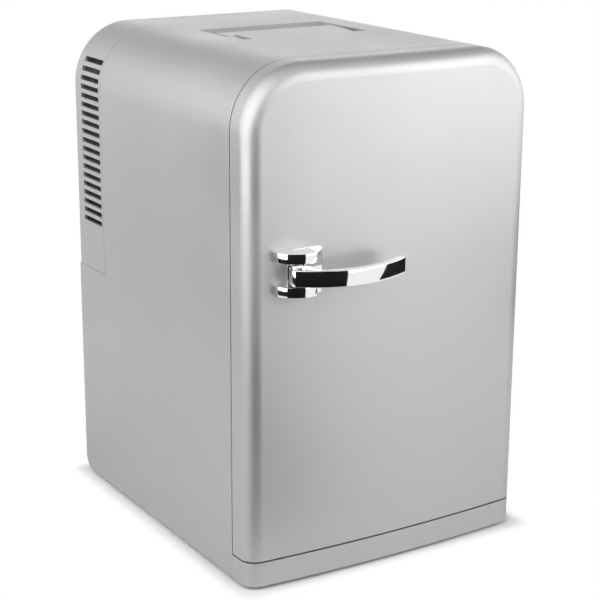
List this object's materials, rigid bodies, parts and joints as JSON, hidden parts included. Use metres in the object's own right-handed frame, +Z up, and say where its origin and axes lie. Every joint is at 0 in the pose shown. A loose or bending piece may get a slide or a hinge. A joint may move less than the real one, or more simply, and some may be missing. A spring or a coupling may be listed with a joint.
{
  "type": "mini fridge",
  "caption": "Upright rounded table-top fridge with a bowed hinged door, lever latch, plinth, flip-up carry handle sunk in the top and a vented rear cover over its cooler.",
  "frame": {"origin": "on the floor plane under the feet, at the middle of the body's width and of its depth from the bowed front to the rear face", "axes": "+X to the right seen from the front, +Y to the rear, +Z up"},
  "size_m": [0.2843, 0.3565, 0.433],
  "materials": {
    "silver_plastic": "satin silver",
    "white_plastic": "satin",
    "bin_plastic": "gloss",
    "foam": "matt, fine cells",
    "chrome": "polished plating",
    "steel": "zinc plated",
    "aluminium": "plain",
    "black_plastic": "satin",
    "brass": "plain",
    "latch_plastic": "satin",
    "gasket_rubber": "matt",
    "foot_rubber": "matt",
    "circuit_board": "satin",
    "ceramic": "matt"
  },
  "bodies": {
    "cabinet": {"board_capacitors": "aluminium", "board_screws": "steel", "board_standoffs": "steel", "board_terminal": "latch_plastic", "board_transformer": "black_plastic", "cabinet_shelf": "white_plastic", "cabinet_shell": "silver_plastic", "carry_handle_pins": "steel", "cold_block": "aluminium", "cold_plate": "aluminium", "control_board": "circuit_board", "cover_screws": "steel", "fan_frame": "black_plastic", "fan_screws": "steel", "foam_insulation": "foam", "front_frame": "white_plastic", "heat_sink": "aluminium", "heat_sink_screws": "steel", "hinge_leaf_cabinet_lower": "steel", "hinge_leaf_cabinet_upper": "steel", "hinge_pin_lower": "steel", "hinge_pin_upper": "steel", "hinge_screws_cabinet": "steel", "inner_liner": "white_plastic", "keeper_plate": "steel", "keeper_screws": "steel", "low_volt_inlet": "black_plastic", "low_volt_pin": "brass", "mains_inlet": "black_plastic", "mains_inlet_pins": "brass", "peltier_module": "ceramic", "plinth": "silver_plastic", "rear_cover": "silver_plastic", "rubber_feet": "foot_rubber", "switch_frame": "black_plastic"},
    "door": {"door_shell": "silver_plastic", "door_foam": "foam", "door_liner": "white_plastic", "door_gasket": "gasket_rubber", "door_bin_lower": "bin_plastic", "door_bin_upper": "bin_plastic", "hinge_leaf_door_lower": "steel", "hinge_leaf_door_upper": "steel", "hinge_screws_door": "steel", "handle_base": "chrome", "handle_pin": "chrome", "handle_screws": "steel", "latch_housing": "latch_plastic", "latch_spring": "steel"},
    "lever": {"handle_lever": "chrome"},
    "latch": {"latch_slide": "latch_plastic"},
    "fan": {"fan_rotor": "black_plastic"},
    "carry": {"carry_handle": "silver_plastic"},
    "rocker": {"switch_rocker": "black_plastic"}
  },
  "joints": [
    {"name": "door_swing", "type": "hinge", "parent": "cabinet", "child": "door", "pos_m": [0.1423, -0.128, 0.22], "axis": [0, 0, 1], "range_deg": [0, 120]},
    {"name": "lever_pull", "type": "hinge", "parent": "door", "child": "lever", "pos_m": [-0.096, -0.1701, 0.2685], "axis": [0, 0, -1], "range_deg": [0, 16], "stiffness_Nm_per_rad": 0.6, "springref_deg": -5.73},
    {"name": "latch_draw", "type": "slide", "parent": "door", "child": "latch", "axis": [1, 0, 0], "range_m": [0, 0.0065], "deforming": ["latch_spring"]},
    {"name": "fan_spin", "type": "hinge", "parent": "cabinet", "child": "fan", "pos_m": [0, 0.142, 0.325], "axis": [0, 1, 0], "continuous": true},
    {"name": "carry_lift", "type": "hinge", "parent": "cabinet", "child": "carry", "pos_m": [0, -0.008, 0.4271], "axis": [1, 0, 0], "range_deg": [0, 90]},
    {"name": "mode_select", "type": "hinge", "parent": "cabinet", "child": "rocker", "pos_m": [0.062, 0.154, 0.227], "axis": [1, 0, 0], "range_deg": [-9, 9]}
  ],
  "couplings": [
    {"joint": "latch_draw", "follows": "lever_pull", "m_per_rad": 0.023196}
  ]
}
